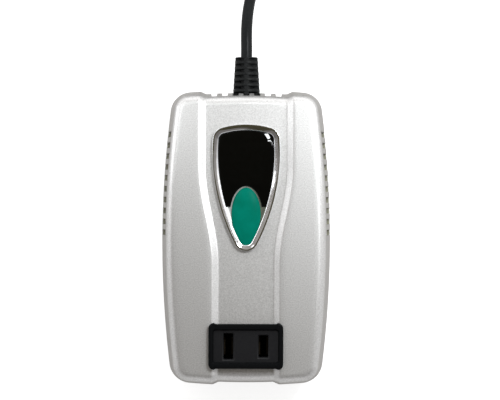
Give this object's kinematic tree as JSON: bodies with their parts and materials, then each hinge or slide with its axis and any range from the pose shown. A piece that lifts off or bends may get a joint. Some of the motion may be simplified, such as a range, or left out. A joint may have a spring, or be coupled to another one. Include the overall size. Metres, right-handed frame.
{
  "type": "travel voltage converter",
  "caption": "Silver step-down travel transformer block with a flat-blade outlet and shield badge on its front, side vents, and a coiled mains cord with a round-pin plug.",
  "frame": {"origin": "middle of the case in plan, on the plane that its rubber feet stand on", "axes": "+X across the case, to the right when the front is read with the cord at the top; +Y along the case towards the cord; +Z out of the front face, up when it lies on its feet"},
  "size_m": [0.071, 0.2908, 0.052],
  "materials": {
    "silver_plastic": "satin metallic paint",
    "zinc_steel": "zinc plated",
    "rubber": "matt",
    "chrome": "polished",
    "gloss_black": "gloss",
    "gloss_green": "gloss",
    "black_plastic": "satin",
    "brass": "bright",
    "nickel_brass": "nickel plated",
    "soft_black": "satin",
    "tie_black": "matt",
    "lamination": "varnished",
    "nylon": "matt",
    "magnet_wire": "varnished",
    "yellow_tape": "satin",
    "fuse_metal": "satin",
    "brown_pvc": "satin",
    "blue_pvc": "satin",
    "red_pvc": "satin",
    "white_pvc": "satin",
    "black_pvc": "satin"
  },
  "bodies": {
    "root": {"front_cover": "silver_plastic", "rear_cover": "silver_plastic", "case_screws": "zinc_steel", "feet": "rubber", "badge_frame": "chrome", "badge_plate": "gloss_black", "badge_oval": "gloss_green", "socket_body": "black_plastic", "socket_back": "black_plastic", "contact_neutral": "brass", "contact_line": "brass", "strain_relief": "soft_black", "cord_lead": "soft_black", "cord_coil": "soft_black", "cord_tail": "soft_black", "cord_tie": "tie_black", "plug_body": "soft_black", "plug_pins": "nickel_brass", "pin_sleeves": "black_plastic", "core_e": "lamination", "core_i": "lamination", "core_frame": "zinc_steel", "bobbin": "nylon", "inner_winding": "magnet_wire", "outer_winding": "magnet_wire", "winding_tape": "yellow_tape", "thermal_fuse": "fuse_metal", "lead_in_live": "brown_pvc", "lead_in_neutral": "blue_pvc", "lead_fuse": "red_pvc", "lead_out_neutral": "white_pvc", "lead_out_line": "black_pvc"}
  },
  "joints": []
}
